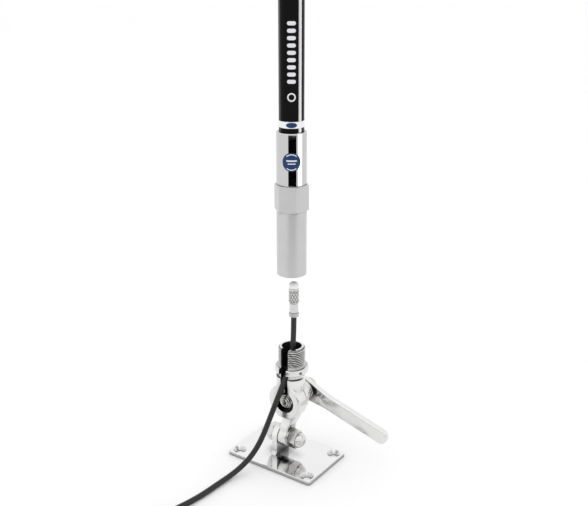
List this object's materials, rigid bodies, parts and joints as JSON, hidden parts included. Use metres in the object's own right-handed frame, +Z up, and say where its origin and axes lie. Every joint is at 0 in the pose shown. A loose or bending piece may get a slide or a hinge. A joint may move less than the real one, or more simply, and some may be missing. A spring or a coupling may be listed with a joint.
{
  "type": "omnidirectional antenna",
  "caption": "Omnidirectional whip antenna with a chrome ferrule, lifted above a polished ratcheting deck mount with a hollow slotted stud, a clamp lever and a coiled coaxial lead",
  "frame": {"origin": "centre of the deck plate's underside, on the surface that the mount stands on", "axes": "+Z up along the antenna at rest, X along the plate's long side and the lower pivot, -Y the side that the cable leaves from"},
  "size_m": [0.1646, 0.2867, 0.695],
  "materials": {
    "polished_steel": "mirror-polished stainless steel",
    "cast_steel": "polished cast stainless steel",
    "turned_steel": "turned and threaded stainless steel",
    "bolt_steel": "plain stainless fasteners",
    "spring_steel": "spring steel",
    "satin_chrome": "satin chrome on brass",
    "bright_chrome": "bright chrome on brass",
    "label_blue": "printed vinyl",
    "pole_black": "gloss black coated fibreglass",
    "cap_black": "moulded cap",
    "band_white": "white vinyl wrap",
    "cable_black": "PVC cable jacket",
    "tie_black": "hook and loop strap",
    "plug_plastic": "moulded plastic",
    "brass": "brass",
    "board_green": "circuit board",
    "foam_white": "closed-cell foam",
    "crimp_steel": "crimped ring",
    "nickel": "nickel-plated brass",
    "insulator_white": "white dielectric",
    "gold_contact": "gold-plated contact"
  },
  "bodies": {
    "deck_base": {"deck_plate": "polished_steel", "plate_ear": "polished_steel", "pivot_bolt": "bolt_steel", "pivot_washers": "bolt_steel", "pivot_dome_nut": "bolt_steel", "deck_cable": "cable_black", "cable_coil": "cable_black", "coil_ties": "tie_black", "cable_tail": "cable_black", "end_crimp_ring": "crimp_steel", "end_sleeve": "nickel", "end_insulator": "insulator_white", "end_contact": "gold_contact"},
    "end_nut_body": {"end_nut": "nickel"},
    "link": {"swivel_link": "cast_steel"},
    "head": {"stud_head": "cast_steel", "threaded_stud": "turned_steel", "stud_set_screw": "bolt_steel", "clamp_bolt": "bolt_steel", "clamp_nut": "bolt_steel", "spring_washers": "spring_steel", "lever_washer": "bolt_steel", "feed_cable": "cable_black", "top_crimp_ring": "crimp_steel", "top_sleeve": "nickel", "top_insulator": "insulator_white", "top_contact": "gold_contact"},
    "top_nut_body": {"top_nut": "nickel"},
    "lever": {"clamp_lever": "cast_steel"},
    "antenna": {"ferrule": "bright_chrome", "ferrule_label": "label_blue", "retaining_ring": "spring_steel", "pole": "pole_black", "pole_band": "band_white", "pole_cap": "cap_black", "pole_plug": "plug_plastic", "antenna_jack": "brass", "jack_nut": "brass", "matching_board": "board_green", "inner_feed": "cable_black", "radiator_sleeve": "brass", "radiator_rod": "brass", "foam_spacers": "foam_white"},
    "collar": {"coupling_collar": "satin_chrome"}
  },
  "joints": [
    {"name": "deck_tilt", "type": "hinge", "parent": "deck_base", "child": "link", "pos_m": [0, 0, 0.022], "axis": [1, 0, 0], "range_deg": [-30, 75]},
    {"name": "ratchet_tilt", "type": "hinge", "parent": "link", "child": "head", "pos_m": [0.0064, 0, 0.066], "axis": [0, 1, 0], "range_deg": [-90, 90], "deforming": ["deck_cable"]},
    {"name": "lever_turn", "type": "hinge", "parent": "link", "child": "lever", "pos_m": [0.0064, 0, 0.066], "axis": [0, 1, 0], "range_deg": [-105, 14]},
    {"name": "antenna_lift", "type": "slide", "parent": "head", "child": "antenna", "axis": [0, 0, 1], "range_m": [-0.0918, 0]},
    {"name": "collar_spin", "type": "hinge", "parent": "antenna", "child": "collar", "pos_m": [0.0064, 0, 0.2], "axis": [0, 0, 1], "continuous": true},
    {"name": "top_nut_spin", "type": "hinge", "parent": "head", "child": "top_nut_body", "pos_m": [0.008, 0.0011, 0.17], "axis": [0, 0, 1], "continuous": true},
    {"name": "end_nut_spin", "type": "hinge", "parent": "deck_base", "child": "end_nut_body", "pos_m": [0.084, -0.2394, 0.0049], "axis": [0.9452, 0.3265, 0], "continuous": true}
  ]
}
